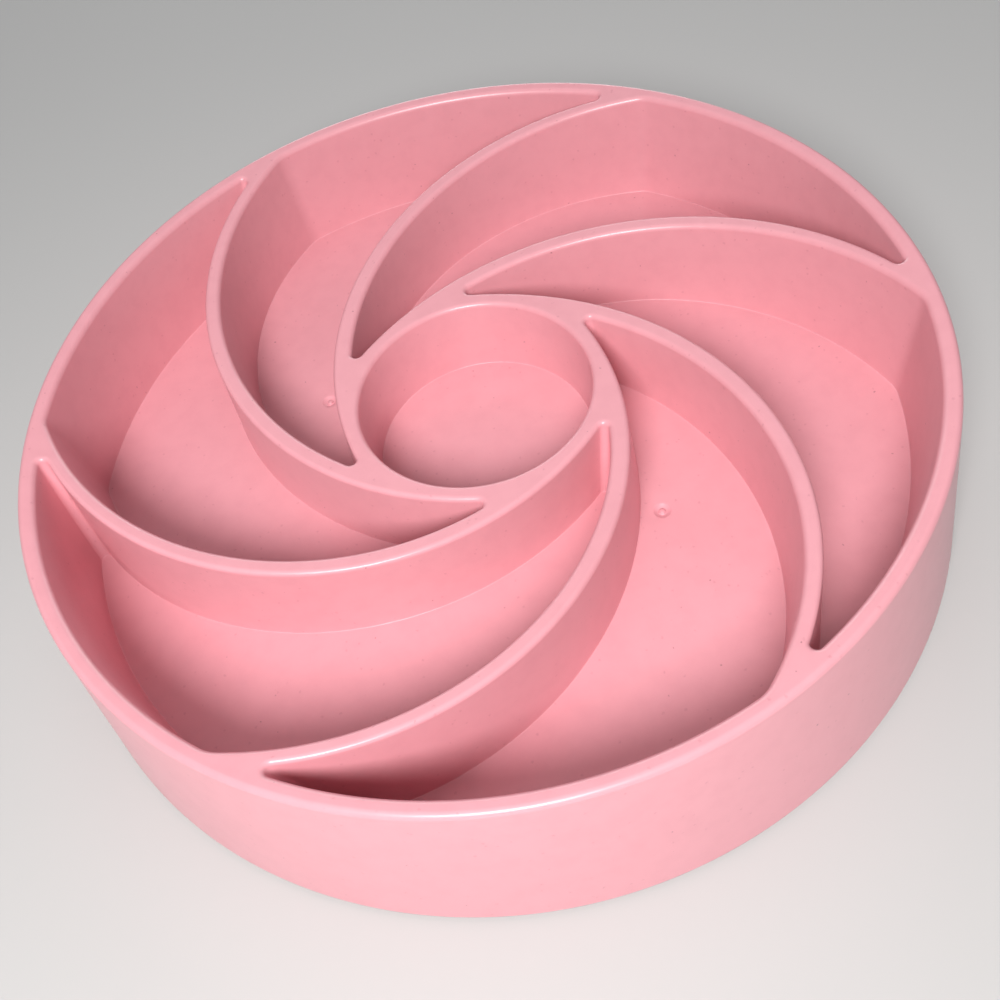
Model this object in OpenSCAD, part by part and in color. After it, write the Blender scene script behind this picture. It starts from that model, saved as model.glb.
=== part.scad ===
// Slow feeder bowl: one round moulding with six curved feed pockets that
// swirl round a centre cup, standing on six push-in rubber feet.
// Millimetres, +Z up, origin on the table under the middle of the bowl.

/* [Body] */
// Outer radius of the rim, where the wall meets the dished top
rim_r = 111.9; // [110:0.1:114]
// Outer radius of the skirt at its lower edge (the wall leans outwards)
base_r = 117.9; // [116:0.1:122]
// Height of the dished top at the pockets' outer tips
top_z = 46; // [45:0.5:50]
// Height of the skirt's lower edge over the table
skirt_z = 0.8; // [0.4:0.1:1.6]
// Radius of the shallow sphere that dishes the whole top
dish_r = 525; // [480:5:700]

/* [Pockets] */
// Radius of the pockets' outer wall at the top
pocket_r = 107.9; // [107:0.1:108.2]
// Height of the pocket floors and of the cup floor
floor_z = 14.5; // [13:0.5:16]
// Draft angle of every inner wall, in degrees
draft = 3.5; // [2.5:0.1:4]
// Radius of the pockets' two pointed ends
tip_r = 1.25; // [1:0.05:1.6]

/* [Swirl vanes] */
// Distance of each vane's arc centre from the bowl's axis
vane_off = 47.8; // [47:0.1:48.6]
// Bearing of the first vane's arc centre, in degrees
vane_dir = 133; // [0:1:360]
// Radius of the vanes' centre line
vane_mid_r = 79.35; // [78.6:0.05:80.2]
// Width of a vane where its height is vane_ref_z
vane_w = 4.1; // [3.8:0.1:4.6]

/* [Centre cup] */
// Radius of the cup at its mouth
cup_r = 29.7; // [28:0.1:30]
// Radius of the solid ring round the cup, where the vane hollows stop
hub_r = 33.5; // [32.6:0.1:34.4]

/* [Walls] */
// Thickness of the skirt and of the rim below the lip
skirt_t = 2.4; // [2.2:0.1:2.8]
// Thickness of the pocket and cup walls, seen from below
wall_t = 2.0; // [1.9:0.1:2.3]
// Thickness of the floors
floor_t = 2.4; // [2:0.1:3]
// Highest level of the hollows inside the vanes
vane_core_z = 27; // [24:0.5:28]
// Highest level of the hollow behind the outer wall
rim_core_z = 37; // [34:0.5:38]

/* [Rubber feet] */
// Distance of the feet from the bowl's axis
foot_ring_r = 84; // [80:0.5:88]
// Bearing of the first foot, counted from vane_dir, in degrees
foot_dir = 85; // [81:1:89]
// Radius of a foot's head
foot_head_r = 7.5; // [6.5:0.1:8.5]
// Thickness of a foot's head
foot_head_h = 2.0; // [1.6:0.1:2.6]
// Radius of the boss that takes a foot
boss_r = 6.5; // [6:0.1:7]
// Radius of the bore in the boss
boss_bore_r = 3.6; // [3:0.1:4]

/* [Moulding marks] */
// Radius of the shallow dimple at each gate
gate_r = 2.2; // [1.6:0.1:2.4]

/* [Hidden] */
$fn = 180;

n_pockets = 6;
step = 360 / n_pockets;
vane_ref_z = 40;
rim_ref_z = 45.5;
cup_ref_z = 36;
over_z = top_z + 6;
slope = tan(draft);
stem_gap = 0.05;
stem_h = 6.6;
bore_top = 9.4;
lip_c = 0.9;
edge_c = 0.8;
gate_depth = 0.7;

// wall radius at height z for a wall that opens upwards (s = 1) or
// closes upwards (s = -1), known to be r at height ref
function rad(r, ref, z, s) = r + s * (z - ref) * slope;
function polar(r, a) = [r * cos(a), r * sin(a)];
function vane_c(i) = polar(vane_off, vane_dir + step * i);
function outer_r(z) = base_r + (rim_r - base_r) * (z - skirt_z) / (top_z - skirt_z);

// the crossing of two circles that lies nearest to the point q
function cross_pt(c1, r1, c2, r2, q) =
    let (d = c2 - c1, l = norm(d),
         a = (r1 * r1 - r2 * r2 + l * l) / (2 * l),
         h = sqrt(max(0, r1 * r1 - a * a)),
         m = c1 + d * (a / l), n = [-d[1], d[0]] / l,
         p1 = m + n * h, p2 = m - n * h)
    norm(p1 - q) < norm(p2 - q) ? p1 : p2;

// centre of the rounding at a pocket's outer tip, at height z
function tip_out(i, z) = cross_pt(
    [0, 0], rad(pocket_r, rim_ref_z, z, 1) - tip_r,
    vane_c(i), rad(vane_mid_r + vane_w / 2, vane_ref_z, z, -1) + tip_r,
    polar(pocket_r, vane_dir + 47 + step * i));

// centre of the rounding at a pocket's inner tip, at height z
function tip_in(i, z) = cross_pt(
    vane_c(i + 1), rad(vane_mid_r - vane_w / 2, vane_ref_z, z, 1) - tip_r,
    vane_c(i), rad(vane_mid_r + vane_w / 2, vane_ref_z, z, -1) + tip_r,
    polar(cup_r + 5, vane_dir + 193 + step * i));

// a cone frustum about the point c, given by its radius at height ref
module drafted(c, r, ref, z0, z1, s)
    translate([c[0], c[1], z0])
        cylinder(r1 = rad(r, ref, z0, s), r2 = rad(r, ref, z1, s), h = z1 - z0);

// what a rounded tip takes away from a sharp one: everything past the
// leaning rod that joins the rounding's centre low and high
module tip_waste(lo, hi) {
    v = hi - lo;
    len = norm(v);
    translate(lo)
        rotate([0, atan2(norm([v[0], v[1]]), v[2]), atan2(v[1], v[0])])
            difference() {
                translate([0, -7, -8]) cube([16, 14, len + 16]);
                translate([0, 0, -9]) cylinder(r = tip_r * 1.12, h = len + 18, $fn = 64);
            }
}

// the space of pocket i; grow thickens it to the outside of its walls
module pocket_space(i, z0, grow) {
    difference() {
        intersection() {
            drafted([0, 0], pocket_r + grow, rim_ref_z, z0, over_z, 1);
            drafted(vane_c(i + 1), vane_mid_r - vane_w / 2 + grow, vane_ref_z, z0, over_z, 1);
        }
        drafted(vane_c(i), vane_mid_r + vane_w / 2 - grow, vane_ref_z, z0 - 1, over_z + 1, -1);
    }
}

module pocket(i)
    difference() {
        pocket_space(i, floor_z, 0);
        tip_waste([tip_out(i, floor_z)[0], tip_out(i, floor_z)[1], floor_z],
                  [tip_out(i, top_z)[0], tip_out(i, top_z)[1], top_z]);
        tip_waste([tip_in(i, floor_z)[0], tip_in(i, floor_z)[1], floor_z],
                  [tip_in(i, top_z)[0], tip_in(i, top_z)[1], top_z]);
    }

module cup()
    drafted([0, 0], cup_r, cup_ref_z, floor_z, over_z, 1);

module outer_body()
    rotate_extrude()
        polygon([[0, skirt_z], [base_r - edge_c, skirt_z], [base_r, skirt_z + edge_c],
                 [outer_r(top_z - lip_c), top_z - lip_c],
                 [outer_r(top_z) - lip_c, top_z + 0.4], [rim_r - 2 * lip_c, over_z - 2],
                 [0, over_z - 2]]);

module dish()
    translate([0, 0, top_z + sqrt(dish_r * dish_r - 107.5 * 107.5)])
        sphere(r = dish_r, $fn = 360);

// the hollow inside the skirt, before the pockets fill most of it
module core_envelope() {
    difference() {
        translate([0, 0, skirt_z - 1])
            cylinder(r1 = outer_r(skirt_z - 1) - skirt_t, r2 = outer_r(rim_core_z) - skirt_t,
                     h = rim_core_z - skirt_z + 1);
        translate([0, 0, vane_core_z]) cylinder(r = 104, h = 30);
    }
}

module bosses(r, z0, z1)
    for (i = [0 : n_pockets - 1])
        translate(concat(polar(foot_ring_r, vane_dir + foot_dir + step * i), [z0]))
            cylinder(r = r, h = z1 - z0, $fn = 64);

module underside()
    difference() {
        core_envelope();
        for (i = [0 : n_pockets - 1]) pocket_space(i, floor_z - floor_t, wall_t);
        translate([0, 0, floor_z - floor_t]) cylinder(r = hub_r, h = over_z);
        bosses(boss_r, foot_head_h, floor_z - 1);
    }

// the shallow dimple where the melt entered the mould, round a cut-off nub
module gate_mark() {
    ball_r = (gate_r * gate_r + gate_depth * gate_depth) / (2 * gate_depth);
    difference() {
        translate([0, 0, ball_r - gate_depth]) sphere(r = ball_r, $fn = 64);
        translate([0, 0, -2]) cylinder(r = 0.75, h = 1.9, $fn = 32);
    }
}

module bowl_moulding() color([0.93, 0.56, 0.58])
    difference() {
        outer_body();
        dish();
        for (i = [0 : n_pockets - 1]) pocket(i);
        cup();
        underside();
        bosses(boss_bore_r, foot_head_h - 2, bore_top);
        translate(concat(polar(49.3, vane_dir + 13.7), [floor_z])) gate_mark();
        translate(concat(polar(51.4, vane_dir + 185.9), [floor_z])) gate_mark();
    }

module rubber_foot(i) color([0.16, 0.16, 0.17])
    translate(concat(polar(foot_ring_r, vane_dir + foot_dir + step * (i - 1)), [0]))
        rotate_extrude($fn = 64)
            polygon([[0, 0], [foot_head_r - 0.5, 0], [foot_head_r, 0.5],
                     [foot_head_r, foot_head_h - 0.3], [foot_head_r - 0.3, foot_head_h],
                     [boss_bore_r - stem_gap, foot_head_h],
                     [boss_bore_r - stem_gap, foot_head_h + stem_h - 0.8],
                     [boss_bore_r - stem_gap - 0.8, foot_head_h + stem_h],
                     [0, foot_head_h + stem_h]]);

bowl_moulding();
rubber_foot(1);  // rubber_foot_1
rubber_foot(2);  // rubber_foot_2
rubber_foot(3);  // rubber_foot_3
rubber_foot(4);  // rubber_foot_4
rubber_foot(5);  // rubber_foot_5
rubber_foot(6);  // rubber_foot_6
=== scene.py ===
import math
import bmesh
import bpy
import numpy as np
from mathutils import Matrix, Vector
from mathutils.geometry import delaunay_2d_cdt


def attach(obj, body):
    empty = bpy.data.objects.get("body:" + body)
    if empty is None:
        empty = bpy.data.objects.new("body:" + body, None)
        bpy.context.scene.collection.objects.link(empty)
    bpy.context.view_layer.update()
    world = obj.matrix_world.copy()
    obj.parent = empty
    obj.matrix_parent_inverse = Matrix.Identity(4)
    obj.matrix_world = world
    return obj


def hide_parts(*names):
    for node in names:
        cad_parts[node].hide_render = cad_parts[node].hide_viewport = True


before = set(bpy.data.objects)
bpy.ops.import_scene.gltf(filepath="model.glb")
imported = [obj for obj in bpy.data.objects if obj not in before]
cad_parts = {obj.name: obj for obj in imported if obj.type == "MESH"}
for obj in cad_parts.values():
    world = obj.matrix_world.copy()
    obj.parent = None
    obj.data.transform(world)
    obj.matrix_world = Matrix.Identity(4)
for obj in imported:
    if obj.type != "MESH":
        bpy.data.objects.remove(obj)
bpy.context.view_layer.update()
MM = 0.001

# ------------------------------------------------------------------ camera
cam_data = bpy.data.cameras.new("cam")
cam = bpy.data.objects.new("cam", cam_data)
bpy.context.scene.collection.objects.link(cam)
cam_data.sensor_fit = "HORIZONTAL"
cam_data.sensor_width = 36.0
cam_data.lens = 37.93
cam_data.clip_start = 0.01
cam_data.clip_end = 20.0
cam.matrix_world = Matrix((
    (0.97476776, 0.22158329, 0.02699366, 0.007395),
    (-0.16277112, 0.78832788, -0.59333356, -0.178781),
    (-0.15275266, 0.57396864, 0.80450396, 0.230187),
    (0.0, 0.0, 0.0, 1.0)))
bpy.context.scene.camera = cam

# ------------------------------------------------- the bowl's shape, in mm
SLOPE = math.tan(math.radians(3.5))      # draft of every inner wall
PHI0 = math.radians(3.5)
FLOOR_Z = 14.5
UNDER_Z = 12.1
DISH_R = 525.0
DISH_C = 46.0 + math.sqrt(DISH_R ** 2 - 107.5 ** 2)
LIP_R = 1.3                              # rounding of every inner lip
FOOT_R = 0.25                             # rounding where a wall meets a floor
TURN = math.radians(60.0)


def dish(r):
    return DISH_C - np.sqrt(DISH_R ** 2 - np.asarray(r) ** 2)


def polar(r, a):
    a = math.radians(a)
    return np.array([r * math.cos(a), r * math.sin(a)])


def unit(v):
    return v / np.hypot(*v)


def meet(c1, r1, c2, r2, near):
    """The crossing of two circles that lies nearest to a point."""
    d = c2 - c1
    l = np.hypot(*d)
    a = (r1 * r1 - r2 * r2 + l * l) / (2 * l)
    h = math.sqrt(max(r1 * r1 - a * a, 0.0))
    m = c1 + a * d / l
    n = np.array([-d[1], d[0]]) / l
    return min((m + h * n, m - h * n), key=lambda p: np.hypot(*(p - near)))


C3 = polar(47.8, 133)
C2 = polar(47.8, 193)
O = np.zeros(2)
N_LONG, N_TIP, N_CORNER = 92, 14, 14


def outline(z):
    """A pocket's outline at height z: points in turn, and their outward normals."""
    ri = 107.9 + (z - 45.5) * SLOPE
    r2 = 77.3 + (z - 40.0) * SLOPE
    r3 = 81.4 - (z - 40.0) * SLOPE
    ra = 1.25 + (46.0 - z) * 0.010
    rc = 1.25 + (46.0 - z) * 0.010
    ro = 9.0
    a = meet(O, ri, C3, r3, polar(108, 180))
    b = meet(O, ri, C2, r2, polar(108, 233))
    c = meet(C3, r3, C2, r2, polar(35.5, 326))
    fa = meet(O, ri - ra, C3, r3 + ra, a)
    fo = meet(O, ri - ro, C2, r2 - ro, b)
    fi = meet(C3, r3 + rc, C2, r2 - rc, c)
    ta1, ta3 = fa + ra * unit(fa - O), fa - ra * unit(fa - C3)
    to1, to2 = fo + ro * unit(fo - O), fo + ro * unit(fo - C2)
    ti2, ti3 = fi + rc * unit(fi - C2), fi - rc * unit(fi - C3)
    pts, nor = [], []
    for centre, p, q, n, sign in ((fa, ta3, ta1, N_TIP, 1), (O, ta1, to1, N_LONG, 1),
                                  (fo, to1, to2, N_CORNER, 1), (C2, to2, ti2, N_LONG, 1),
                                  (fi, ti2, ti3, N_TIP, 1), (C3, ti3, ta3, N_LONG, -1)):
        s = math.atan2(*(p - centre)[::-1])
        e = math.atan2(*(q - centre)[::-1])
        if sign > 0:
            while e < s:
                e += 2 * math.pi
        else:
            while e > s:
                e -= 2 * math.pi
        t = s + (e - s) * np.arange(n) / n
        d = np.stack([np.cos(t), np.sin(t)], 1)
        pts.append(centre + np.hypot(*(p - centre)) * d)
        nor.append(sign * d)
    return np.concatenate(pts), np.concatenate(nor)


LEVELS = np.linspace(10.0, 50.0, 41)
GRID = [outline(z) for z in LEVELS]
GRID_P = np.stack([g[0] for g in GRID])
GRID_N = np.stack([g[1] for g in GRID])
N_OUT = GRID_P.shape[1]


def at(z):
    """The outline with a height of its own for each point."""
    z = np.broadcast_to(np.asarray(z, float), (N_OUT,))
    k = np.clip(((z - LEVELS[0]) / (LEVELS[1] - LEVELS[0])).astype(int), 0, len(LEVELS) - 2)
    f = ((z - LEVELS[k]) / (LEVELS[1] - LEVELS[0]))[:, None]
    j = np.arange(N_OUT)
    p = GRID_P[k, j] * (1 - f) + GRID_P[k + 1, j] * f
    n = GRID_N[k, j] * (1 - f) + GRID_N[k + 1, j] * f
    return p, n / np.hypot(n[:, 0], n[:, 1])[:, None]


def rings_of_pocket():
    """Rings from the dished top down to the floor, each N_OUT x 3."""
    z = np.full(N_OUT, 46.0)
    for _ in range(6):
        p, n = at(z)
        z = dish(np.hypot(p[:, 0], p[:, 1])) - LIP_R * (1 - math.sin(PHI0))
    lip_z = z
    p, n = at(lip_z)
    rings = []
    ds = [LIP_R * math.cos(PHI0) + 0.05]
    hs = [0.0]
    for phi in np.linspace(math.pi / 2, PHI0, 8):
        ds.append(LIP_R * (math.cos(PHI0) - math.cos(phi)))
        hs.append(LIP_R * (1 - math.sin(phi)))
    for d, h in zip(ds, hs):
        q = p + n * d
        rings.append(np.column_stack([q, dish(np.hypot(q[:, 0], q[:, 1])) - h]))
    low = FLOOR_Z + FOOT_R * (1 - math.sin(PHI0))
    for t in (0.993, 0.8, 0.6, 0.4, 0.2, 0.01):
        zz = low + t * (lip_z - low)
        q, _ = at(zz)
        rings.append(np.column_stack([q, zz]))
    p, n = at(low)
    for phi in np.linspace(PHI0, math.pi / 2, 6):
        d = FOOT_R * (math.cos(PHI0) - math.cos(phi))
        q = p - n * d
        rings.append(np.column_stack([q, np.full(N_OUT, FLOOR_Z + FOOT_R * (1 - math.sin(phi)))]))
    q = p - n * (FOOT_R * math.cos(PHI0) + 0.05)
    rings.append(np.column_stack([q, np.full(N_OUT, FLOOR_Z)]))
    return rings


def turned(ring, i):
    c, s = math.cos(TURN * i), math.sin(TURN * i)
    out = ring.copy()
    out[:, 0] = c * ring[:, 0] - s * ring[:, 1]
    out[:, 1] = s * ring[:, 0] + c * ring[:, 1]
    return out


class Shell:
    """Vertices and faces gathered ring by ring."""

    def __init__(self):
        self.v, self.f, self.n = [], [], 0

    def ring(self, pts):
        pts = np.asarray(pts, float)
        self.v.append(pts)
        ids = list(range(self.n, self.n + len(pts)))
        self.n += len(pts)
        return ids

    def bridge(self, a, b):
        m = len(a)
        for j in range(m):
            k = (j + 1) % m
            self.f.append((a[j], a[k], b[k], b[j]))

    def fill(self, outer, holes=(), up=True):
        """Triangles between an outer loop and its holes, as seen from above."""
        allv = np.concatenate(self.v)
        ids = list(outer)
        edges = []
        start = 0
        for loop in [outer] + list(holes):
            m = len(loop)
            edges += [(start + j, start + (j + 1) % m) for j in range(m)]
            start += m
        for h in holes:
            ids += list(h)
        xy = [Vector((allv[i][0], allv[i][1])) for i in ids]
        verts, _, faces, orig, _, _ = delaunay_2d_cdt(xy, edges, [], 0, 1e-7)
        back = [ids[o[0]] for o in orig]
        cen = np.array([[sum(verts[i][k] for i in f) / 3 for k in (0, 1)] for f in faces])
        keep = inside(cen, allv[outer][:, :2])
        for h in holes:
            keep &= ~inside(cen, allv[h][:, :2])
        for f, ok in zip(faces, keep):
            if ok:
                t = tuple(back[i] for i in f)
                self.f.append(t if up else t[::-1])

    def make(self, name):
        me = bpy.data.meshes.new(name)
        me.from_pydata((np.concatenate(self.v) * MM).tolist(), [], self.f)
        me.validate()
        ob = bpy.data.objects.new(name, me)
        bpy.context.scene.collection.objects.link(ob)
        return ob


def inside(pts, loop):
    """Which points lie inside a closed loop."""
    x, y = pts[:, 0][:, None], pts[:, 1][:, None]
    x0, y0 = loop[:, 0][None], loop[:, 1][None]
    x1, y1 = np.roll(loop[:, 0], -1)[None], np.roll(loop[:, 1], -1)[None]
    cross = (y0 > y) != (y1 > y)
    with np.errstate(divide="ignore", invalid="ignore"):
        xi = x0 + (y - y0) * (x1 - x0) / (y1 - y0)
    return (np.sum(cross & (x < xi), axis=1) % 2) == 1


def circle(r, z, n, centre=(0.0, 0.0), phase=0.0):
    t = phase + 2 * math.pi * np.arange(n) / n
    return np.column_stack([centre[0] + r * np.cos(t), centre[1] + r * np.sin(t), np.full(n, z)])


def rounded(path, n=8):
    """A profile of (r, z, rounding) corners with its corners rounded."""
    out = []
    for k, (x, y, r) in enumerate(path):
        p = np.array([x, y], float)
        if r <= 0 or k in (0, len(path) - 1):
            out.append(p)
            continue
        u = np.array(path[k - 1][:2]) - p
        v = np.array(path[k + 1][:2]) - p
        u, v = unit(u), unit(v)
        half = math.acos(max(-1, min(1, float(u @ v)))) / 2
        t = r / math.tan(half)
        c = p + unit(u + v) * (r / math.sin(half))
        a0 = math.atan2(*(p + u * t - c)[::-1])
        a1 = math.atan2(*(p + v * t - c)[::-1])
        while a1 - a0 > math.pi:
            a1 -= 2 * math.pi
        while a1 - a0 < -math.pi:
            a1 += 2 * math.pi
        out.append(p + u * (t + 0.05))
        for a in np.linspace(a0, a1, n + 1):
            out.append(c + r * np.array([math.cos(a), math.sin(a)]))
        out.append(p + v * (t + 0.05))
    return out


def lathe(name, profile, n, centre=(0.0, 0.0)):
    """A closed solid of revolution: the profile runs from the axis to the axis."""
    s = Shell()
    first = s.ring([[centre[0], centre[1], profile[0][1]]])[0]
    rings = [s.ring(circle(r, z, n, centre)) for r, z in profile[1:-1]]
    last = s.ring([[centre[0], centre[1], profile[-1][1]]])[0]
    for a, b in zip(rings, rings[1:]):
        s.bridge(a, b)
    for j in range(n):
        k = (j + 1) % n
        s.f.append((first, rings[0][k], rings[0][j]))
        s.f.append((last, rings[-1][j], rings[-1][k]))
    ob = s.make(name)
    return ob


# ------------------------------------------------------ the moulding's top
def outer_wall(z):
    return 117.9 - 6.0 * (z - 0.8) / 45.2


bowl = Shell()
N_RIM = 384
tip_r_out = 111.79
path = [(109.6, float(dish(109.6)), 0),
        (tip_r_out, float(dish(tip_r_out)), 1.35),
        (outer_wall(0.8), 0.8, 0.9),
        (116.2, 0.8, 0)]
rim_profile = rounded(path, 9)[1:]
extra = []
for a, b in zip(rim_profile, rim_profile[1:]):
    extra.append(a)
    if abs(b[1] - a[1]) > 20:
        extra += [a + (b - a) * t for t in (0.2, 0.4, 0.6, 0.8)]
extra.append(rim_profile[-1])
rim_rings = [bowl.ring(circle(p[0], p[1], N_RIM)) for p in extra]
for a, b in zip(rim_rings, rim_rings[1:]):
    bowl.bridge(b, a)

base = rings_of_pocket()
lips, floors = [], []
for i in range(6):
    ids = [bowl.ring(turned(r, i)) for r in base]
    for a, b in zip(ids, ids[1:]):
        bowl.bridge(a, b)
    lips.append(ids[0])
    floors.append(ids[-1])

# the centre cup
def cup_r(z):
    return 29.7 + (z - 36.0) * SLOPE


N_CUP = 240
zc = 35.7
for _ in range(5):
    zc = float(dish(cup_r(zc))) - LIP_R * (1 - math.sin(PHI0))
prof = []
r0 = cup_r(zc)
prof.append((r0 + LIP_R * math.cos(PHI0) + 0.05, None, 0.0))
for phi in np.linspace(math.pi / 2, PHI0, 9):
    prof.append((r0 + LIP_R * (math.cos(PHI0) - math.cos(phi)), None, LIP_R * (1 - math.sin(phi))))
low = FLOOR_Z + FOOT_R * (1 - math.sin(PHI0))
for t in (0.99, 0.8, 0.6, 0.4, 0.2, 0.02):
    zz = low + t * (zc - low)
    prof.append((cup_r(zz), zz, 0.0))
for phi in np.linspace(PHI0, math.pi / 2, 6):
    prof.append((cup_r(low) - FOOT_R * (math.cos(PHI0) - math.cos(phi)),
                 FLOOR_Z + FOOT_R * (1 - math.sin(phi)), 0.0))
prof.append((cup_r(low) - FOOT_R * math.cos(PHI0) - 0.05, FLOOR_Z, 0.0))
cup_rings = []
for r, z, h in prof:
    cup_rings.append(bowl.ring(circle(r, float(dish(r)) - h if z is None else z, N_CUP)))
for a, b in zip(cup_rings, cup_rings[1:]):
    bowl.bridge(a, b)

# the dished land between the pockets, the cup and the rim
bowl.fill(rim_rings[0], lips + [cup_rings[0]])
bowl.fill(cup_rings[-1])

# pocket floors, two of them with the recess left at a gate
GATES = [np.array([-41.2, 27.1]), np.array([38.7, -33.8])]
GATE = [(2.34, 0.0), (2.24, -0.012), (2.12, -0.058), (2.0, -0.132), (1.8, -0.248), (1.5, -0.392), (1.2, -0.506),
        (1.0, -0.56), (0.90, -0.50), (0.85, -0.38), (0.80, -0.26), (0.71, -0.16), (0.56, -0.09), (0.38, -0.05),
        (0.18, -0.03)]
for i in range(6):
    loop = floors[i]
    xy = np.concatenate(bowl.v)[loop][:, :2]
    holes = []
    for g in GATES:
        if inside(g[None], xy)[0]:
            ring = [bowl.ring(circle(r, FLOOR_Z + z, 40, g)) for r, z in GATE]
            for a, b in zip(ring, ring[1:]):
                bowl.bridge(a, b)
            bowl.fill(ring[-1])
            holes.append(ring[0])
    bowl.fill(loop, holes)

# close the solid underneath; the hollow is cut from it next
bowl.fill(rim_rings[-1], up=False)
body = bowl.make("bowl_body")


# -------------------------------------------------------- the hollow below
def skirt_in(z):
    return outer_wall(z) - 2.4


hollow = lathe("cut_hollow", [(0, 0.0)] + [tuple(p) for p in rounded([
    (0.0, 0.0, 0), (116.9, 0.0, 0), (116.35, 0.62, 0), (115.95, 0.9, 0), (115.6, 1.3, 0),
    (skirt_in(1.8), 1.8, 0), (skirt_in(37.0), 37.0, 0.8), (104.0, 37.0, 0.0),
    (104.0, 27.0, 0), (1.0, 27.0, 0)])][1:] + [(0, 27.0)], 360)

UNDER_R = 0.9


def under_pocket(i):
    """The outside of a pocket's walls and floor, as a closed plug."""
    s = Shell()
    rings = []
    grow = 2.0
    low = UNDER_Z + UNDER_R * (1 - math.sin(PHI0))
    p, n = at(low)
    d0 = grow - UNDER_R * math.cos(PHI0)
    rings.append(np.column_stack([p + n * (d0 - 0.05), np.full(N_OUT, UNDER_Z)]))
    for phi in np.linspace(math.pi / 2, PHI0, 7):
        d = grow - UNDER_R * (math.cos(PHI0) - math.cos(phi))
        rings.append(np.column_stack([p + n * d, np.full(N_OUT, UNDER_Z + UNDER_R * (1 - math.sin(phi)))]))
    for z in (13.2, 20.0, 26.0, 32.0, 40.0, 45.0):
        q, m = at(z)
        rings.append(np.column_stack([q + m * grow, np.full(N_OUT, z)]))
    ids = [s.ring(turned(r, i)) for r in rings]
    for a, b in zip(ids, ids[1:]):
        s.bridge(a, b)
    s.fill(ids[0], up=False)
    s.fill(ids[-1])
    return s.make("cut_pocket_%d" % i)


def cut(target, tools):
    """target minus the tools, made one after the other."""
    for t in tools:
        m = target.modifiers.new("cut", "BOOLEAN")
        m.operation = "DIFFERENCE"
        m.solver = "MANIFOLD"
        m.object = t
    bpy.context.view_layer.update()
    dg = bpy.context.evaluated_depsgraph_get()
    me = bpy.data.meshes.new_from_object(target.evaluated_get(dg))
    target.modifiers.clear()
    old = target.data
    target.data = me
    bpy.data.meshes.remove(old)
    for t in tools:
        old = t.data
        bpy.data.objects.remove(t)
        bpy.data.meshes.remove(old)


plugs = [under_pocket(i) for i in range(6)]
hub = lathe("cut_hub", [(0, UNDER_Z)] + [tuple(p) for p in rounded([
    (0.0, UNDER_Z, 0), (33.5, UNDER_Z, UNDER_R), (33.5, 30.0, 0), (0.0, 30.0, 0)], 6)][1:-1] + [(0, 30.0)], 240)
FEET = [polar(84.0, 218.0 + 60.0 * i) for i in range(6)]
bosses = [lathe("cut_boss_%d" % i, [(0, 2.0)] + [tuple(p) for p in rounded([
    (0.0, 2.0, 0), (6.5, 2.0, 0.3), (6.5, 13.0, 0), (0.0, 13.0, 0)], 4)][1:-1] + [(0, 13.0)], 64, c)
    for i, c in enumerate(FEET)]
cut(hollow, plugs + [hub] + bosses)
bores = [lathe("cut_bore_%d" % i, [(0, 0.4), (3.6, 0.4), (3.6, 9.0), (3.2, 9.4), (0, 9.4)], 48, c)
         for i, c in enumerate(FEET)]
cut(body, [hollow] + bores)
bm = bmesh.new()
bm.from_mesh(body.data)
bmesh.ops.remove_doubles(bm, verts=bm.verts, dist=1e-5)
bmesh.ops.dissolve_degenerate(bm, dist=5e-6, edges=bm.edges)
bmesh.ops.triangulate(bm, faces=[f for f in bm.faces if len(f.verts) > 4])
bm.to_mesh(body.data)
bm.free()


def finish_shading(ob, degrees=32.0):
    me = ob.data
    for p in me.polygons:
        p.use_smooth = True
    me.set_sharp_from_angle(angle=math.radians(degrees))


body.name = "bowl_body"
body.data.name = "bowl_body"
finish_shading(body)

# ------------------------------------------------------------ rubber feet
feet = []
for i, c in enumerate(FEET):
    f = lathe("foot_%d" % (i + 1), [tuple(p) for p in rounded([
        (0.0, 0.0, 0), (7.5, 0.0, 0.6), (7.5, 2.0, 0.4), (3.55, 2.0, 0.0), (3.55, 8.6, 0.7), (0.0, 8.6, 0)], 6)],
        72, c)
    finish_shading(f)
    feet.append(f)


# -------------------------------------------------------------- materials
def new_material(name):
    m = bpy.data.materials.new(name)
    m.use_nodes = True
    nt = m.node_tree
    return m, nt, nt.nodes["Principled BSDF"]


def link(nt, a, b):
    nt.links.new(a, b)


plastic, nt, bsdf = new_material("bowl_plastic")
tc = nt.nodes.new("ShaderNodeTexCoord")


wander = nt.nodes.new("ShaderNodeTexNoise")
wander.inputs["Scale"].default_value = 1700.0
wander.inputs["Detail"].default_value = 1.0
link(nt, tc.outputs["Object"], wander.inputs["Vector"])
shift = nt.nodes.new("ShaderNodeVectorMath")
shift.operation = "MULTIPLY_ADD"
shift.inputs[1].default_value = (0.0007, 0.0007, 0.0007)
link(nt, wander.outputs["Color"], shift.inputs[0])
link(nt, tc.outputs["Object"], shift.inputs[2])


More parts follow.
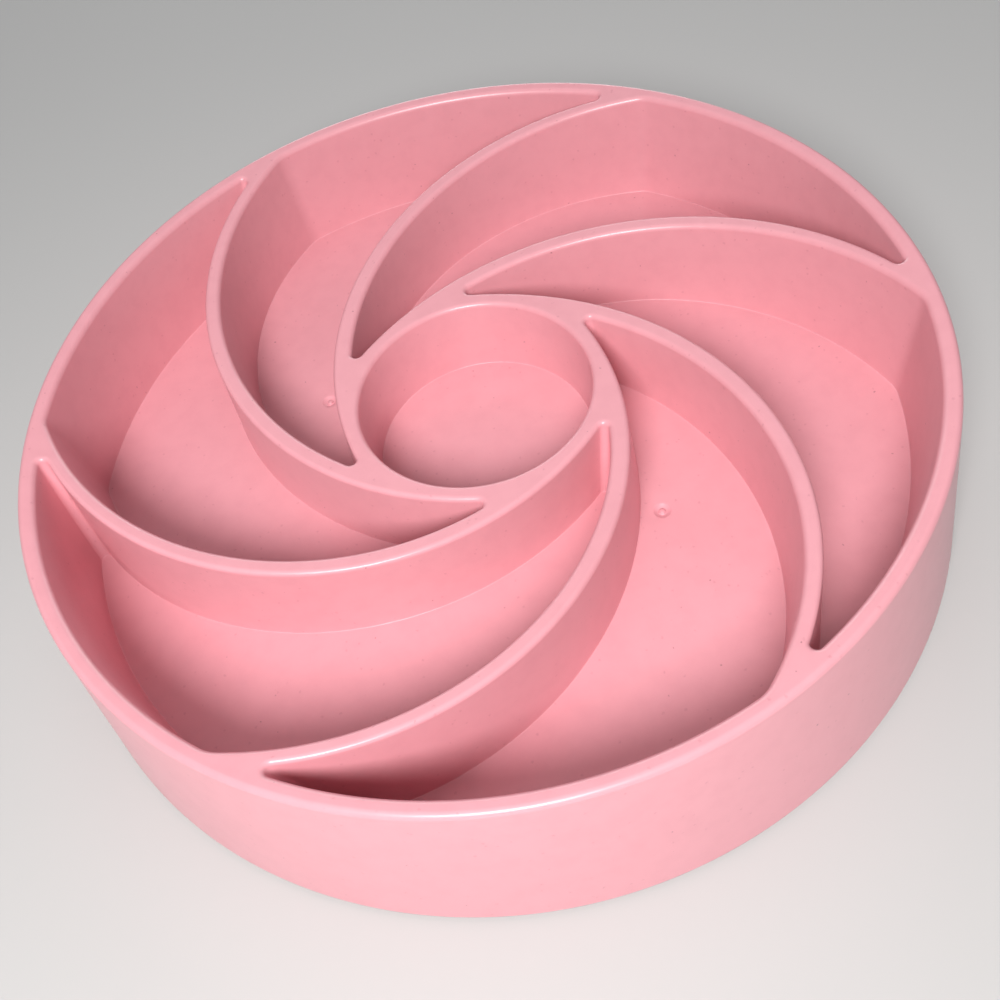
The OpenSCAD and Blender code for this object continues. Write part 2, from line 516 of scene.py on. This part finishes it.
def specks(scale, low, high, share, seed):
    """A sparse mask of small uneven flecks: 1 in a fleck, 0 elsewhere."""
    mp = nt.nodes.new("ShaderNodeMapping")
    mp.inputs["Location"].default_value = (seed, seed * 0.37, seed * 0.71)
    link(nt, shift.outputs["Vector"], mp.inputs["Vector"])
    vo = nt.nodes.new("ShaderNodeTexVoronoi")
    vo.feature = "F1"
    vo.inputs["Scale"].default_value = scale
    link(nt, mp.outputs["Vector"], vo.inputs["Vector"])
    dot = nt.nodes.new("ShaderNodeMapRange")
    dot.inputs["From Min"].default_value = low
    dot.inputs["From Max"].default_value = high
    dot.inputs["To Min"].default_value = 1.0
    dot.inputs["To Max"].default_value = 0.0
    link(nt, vo.outputs["Distance"], dot.inputs["Value"])
    sep = nt.nodes.new("ShaderNodeSeparateColor")
    link(nt, vo.outputs["Color"], sep.inputs["Color"])
    rare = nt.nodes.new("ShaderNodeMath")
    rare.operation = "LESS_THAN"
    rare.inputs[1].default_value = share
    link(nt, sep.outputs[0], rare.inputs[0])
    both = nt.nodes.new("ShaderNodeMath")
    both.operation = "MULTIPLY"
    link(nt, dot.outputs["Result"], both.inputs[0])
    link(nt, rare.outputs[0], both.inputs[1])
    return both.outputs[0]


def mixed(fac, base_socket, colour):
    mx = nt.nodes.new("ShaderNodeMix")
    mx.data_type = "RGBA"
    link(nt, fac, mx.inputs["Factor"])
    link(nt, base_socket, mx.inputs[6])
    mx.inputs[7].default_value = colour
    return mx.outputs[2]


def times(a, k):
    m = nt.nodes.new("ShaderNodeMath")
    m.operation = "MULTIPLY"
    link(nt, a, m.inputs[0])
    m.inputs[1].default_value = k
    return m.outputs[0]


PINK = (0.742, 0.338, 0.382, 1.0)
PINK_DEEP = (0.720, 0.315, 0.359, 1.0)
cloud = nt.nodes.new("ShaderNodeTexNoise")
cloud.inputs["Scale"].default_value = 22.0
cloud.inputs["Detail"].default_value = 3.0
cloud.inputs["Roughness"].default_value = 0.5
link(nt, tc.outputs["Object"], cloud.inputs["Vector"])
ramp = nt.nodes.new("ShaderNodeMix")
ramp.data_type = "RGBA"
ramp.inputs[6].default_value = PINK
ramp.inputs[7].default_value = PINK_DEEP
link(nt, cloud.outputs["Fac"], ramp.inputs["Factor"])
col = ramp.outputs[2]
mottle = nt.nodes.new("ShaderNodeTexNoise")
mottle.inputs["Scale"].default_value = 190.0
mottle.inputs["Detail"].default_value = 4.0
mottle.inputs["Roughness"].default_value = 0.6
link(nt, tc.outputs["Object"], mottle.inputs["Vector"])
patch = nt.nodes.new("ShaderNodeMapRange")
patch.interpolation_type = "SMOOTHSTEP"
patch.inputs["From Min"].default_value = 0.35
patch.inputs["From Max"].default_value = 0.72
patch.inputs["To Max"].default_value = 0.10
link(nt, mottle.outputs["Fac"], patch.inputs["Value"])
col = mixed(patch.outputs["Result"], col, (0.50, 0.185, 0.215, 1.0))
col = mixed(times(specks(400.0, 0.06, 0.17, 0.42, 3.1), 0.24), col, (0.40, 0.12, 0.14, 1.0))
col = mixed(times(specks(250.0, 0.015, 0.075, 0.26, 1.7), 0.62), col, (0.19, 0.055, 0.06, 1.0))
link(nt, col, bsdf.inputs["Base Color"])
bsdf.inputs["IOR"].default_value = 1.49
bsdf.inputs["Subsurface Weight"].default_value = 0.0
rough = nt.nodes.new("ShaderNodeMapRange")
rough.inputs["To Min"].default_value = 0.28
rough.inputs["To Max"].default_value = 0.34
link(nt, cloud.outputs["Fac"], rough.inputs["Value"])
link(nt, rough.outputs["Result"], bsdf.inputs["Roughness"])
grain = nt.nodes.new("ShaderNodeTexNoise")
grain.inputs["Scale"].default_value = 900.0
grain.inputs["Detail"].default_value = 2.0
link(nt, tc.outputs["Object"], grain.inputs["Vector"])
bump = nt.nodes.new("ShaderNodeBump")
bump.inputs["Strength"].default_value = 0.10
bump.inputs["Distance"].default_value = 0.00004
link(nt, grain.outputs["Fac"], bump.inputs["Height"])
link(nt, bump.outputs["Normal"], bsdf.inputs["Normal"])

rubber, nt, bsdf = new_material("foot_rubber")
tc = nt.nodes.new("ShaderNodeTexCoord")
bsdf.inputs["Base Color"].default_value = (0.022, 0.022, 0.024, 1.0)
bsdf.inputs["Roughness"].default_value = 0.62
grain = nt.nodes.new("ShaderNodeTexNoise")
grain.inputs["Scale"].default_value = 1400.0
link(nt, tc.outputs["Object"], grain.inputs["Vector"])
bump = nt.nodes.new("ShaderNodeBump")
bump.inputs["Strength"].default_value = 0.2
bump.inputs["Distance"].default_value = 0.00005
link(nt, grain.outputs["Fac"], bump.inputs["Height"])
link(nt, bump.outputs["Normal"], bsdf.inputs["Normal"])

body.data.materials.clear()
body.data.materials.append(plastic)
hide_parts("bowl_moulding")
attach(body, "root")
for i, f in enumerate(feet):
    f.data.materials.append(rubber)
    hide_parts("rubber_foot_%d" % (i + 1))
    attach(f, "root")

# ------------------------------------------------------- floor and lights
me = bpy.data.meshes.new("floor")
LOW = -0.0001
me.from_pydata([(-6, -6, LOW), (6, -6, LOW), (6, 6, LOW), (-6, 6, LOW)], [], [(0, 1, 2, 3)])
floor = bpy.data.objects.new("floor", me)
bpy.context.scene.collection.objects.link(floor)
pale, nt, bsdf = new_material("floor_pale")
bsdf.inputs["Base Color"].default_value = (0.50, 0.496, 0.49, 1.0)
bsdf.inputs["Roughness"].default_value = 0.9
bsdf.inputs["Specular IOR Level"].default_value = 0.08
me.materials.append(pale)


def area(name, size, power, place, aim, colour=(1, 1, 1)):
    d = bpy.data.lights.new(name, "AREA")
    d.shape = "DISK"
    d.size = size
    d.energy = power
    d.color = colour
    o = bpy.data.objects.new(name, d)
    bpy.context.scene.collection.objects.link(o)
    o.location = place
    o.rotation_euler = (Vector(aim) - Vector(place)).to_track_quat("-Z", "Y").to_euler()
    return o


area("key", 0.22, 3.85, (-0.080, -0.390, 0.420), (0.0, 0.0, 0.03), (1.0, 0.99, 0.98))
area("top", 3.0, 17.0, (0.0, 0.2, 3.0), (0.0, 0.0, 0.0), (1.0, 1.0, 1.0))
area("back", 1.0, 8.0, (0.10, 1.30, 0.30), (0.0, 0.0, 0.03), (0.98, 0.99, 1.0))
world = bpy.data.worlds.new("studio")
world.use_nodes = True
world.node_tree.nodes["Background"].inputs["Color"].default_value = (0.95, 0.97, 1.0, 1.0)
world.node_tree.nodes["Background"].inputs["Strength"].default_value = 0.21
bpy.context.scene.world = world
bpy.context.scene.view_settings.view_transform = "Standard"
bpy.context.scene.view_settings.look = "None"
